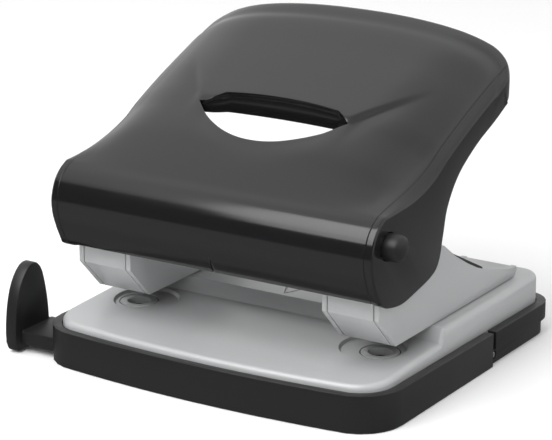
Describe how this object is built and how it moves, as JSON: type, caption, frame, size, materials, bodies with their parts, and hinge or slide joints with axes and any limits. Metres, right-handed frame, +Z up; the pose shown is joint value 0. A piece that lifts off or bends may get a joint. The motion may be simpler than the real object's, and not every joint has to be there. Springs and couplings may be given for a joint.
{
  "type": "hole punch",
  "caption": "Desktop paper punch with a moulded lever handle, steel towers and base plate, chip tray with a rear flap, and a sliding paper guide.",
  "frame": {"origin": "under the middle of the base, 20.5 mm behind the line of the punched holes, on the surface that the punch stands on", "axes": "+Z up, +X to the right seen from the front (the lock button's side), -Y towards the user, where the paper goes in"},
  "size_m": [0.1241, 0.107, 0.0925],
  "materials": {
    "satin_black_plastic": "moulded, fine satin grain",
    "gloss_black_plastic": "moulded, high gloss",
    "silver_painted_steel": "satin silver-grey enamel on pressed sheet",
    "ground_steel": "ground and hardened",
    "spring_steel": "drawn wire, oiled",
    "zinc_plated_steel": "bright zinc plate"
  },
  "bodies": {
    "base": {"chip_tray": "satin_black_plastic", "base_plate": "silver_painted_steel", "left_bracket": "silver_painted_steel", "right_bracket": "silver_painted_steel", "left_front_panel": "silver_painted_steel", "right_front_panel": "silver_painted_steel", "left_pin_guide": "satin_black_plastic", "right_pin_guide": "satin_black_plastic", "left_die": "ground_steel", "right_die": "ground_steel", "left_return_spring": "spring_steel", "right_return_spring": "spring_steel", "pivot_axle": "ground_steel", "left_axle_clip": "spring_steel", "right_axle_clip": "spring_steel", "left_front_rivet": "zinc_plated_steel", "left_rear_rivet": "zinc_plated_steel", "right_front_rivet": "zinc_plated_steel", "right_rear_rivet": "zinc_plated_steel", "left_flap_pin": "zinc_plated_steel", "right_flap_pin": "zinc_plated_steel"},
    "handle": {"handle_shell": "gloss_black_plastic", "left_press_lever": "zinc_plated_steel", "right_press_lever": "zinc_plated_steel", "left_lever_screw": "zinc_plated_steel", "right_lever_screw": "zinc_plated_steel", "press_bar": "ground_steel"},
    "button": {"lock_button": "satin_black_plastic"},
    "left_pin": {"left_punch_pin": "ground_steel"},
    "right_pin": {"right_punch_pin": "ground_steel"},
    "flap": {"chip_flap": "satin_black_plastic"},
    "guide": {"paper_guide": "satin_black_plastic"}
  },
  "joints": [
    {"name": "handle_press", "type": "hinge", "parent": "base", "child": "handle", "pos_m": [0, -0.0371, 0.0492], "axis": [-1, 0, 0], "range_deg": [0, 26], "stiffness_Nm_per_rad": 0.6, "springref_deg": -28.65},
    {"name": "left_punch", "type": "slide", "parent": "base", "child": "left_pin", "axis": [0, 0, -1], "range_m": [0, 0.0078], "deforming": ["left_return_spring"]},
    {"name": "right_punch", "type": "slide", "parent": "base", "child": "right_pin", "axis": [0, 0, -1], "range_m": [0, 0.0078], "deforming": ["right_return_spring"]},
    {"name": "button_push", "type": "slide", "parent": "handle", "child": "button", "axis": [-1, 0, 0], "range_m": [0, 0.002]},
    {"name": "flap_open", "type": "hinge", "parent": "base", "child": "flap", "pos_m": [0, 0.0184, 0.0024], "axis": [-1, 0, 0], "range_deg": [0, 75]},
    {"name": "guide_slide", "type": "slide", "parent": "base", "child": "guide", "axis": [-1, 0, 0], "range_m": [0, 0.085]}
  ],
  "couplings": [
    {"joint": "left_punch", "follows": "handle_press", "m_per_rad": 0.0169},
    {"joint": "right_punch", "follows": "handle_press", "m_per_rad": 0.0169}
  ]
}
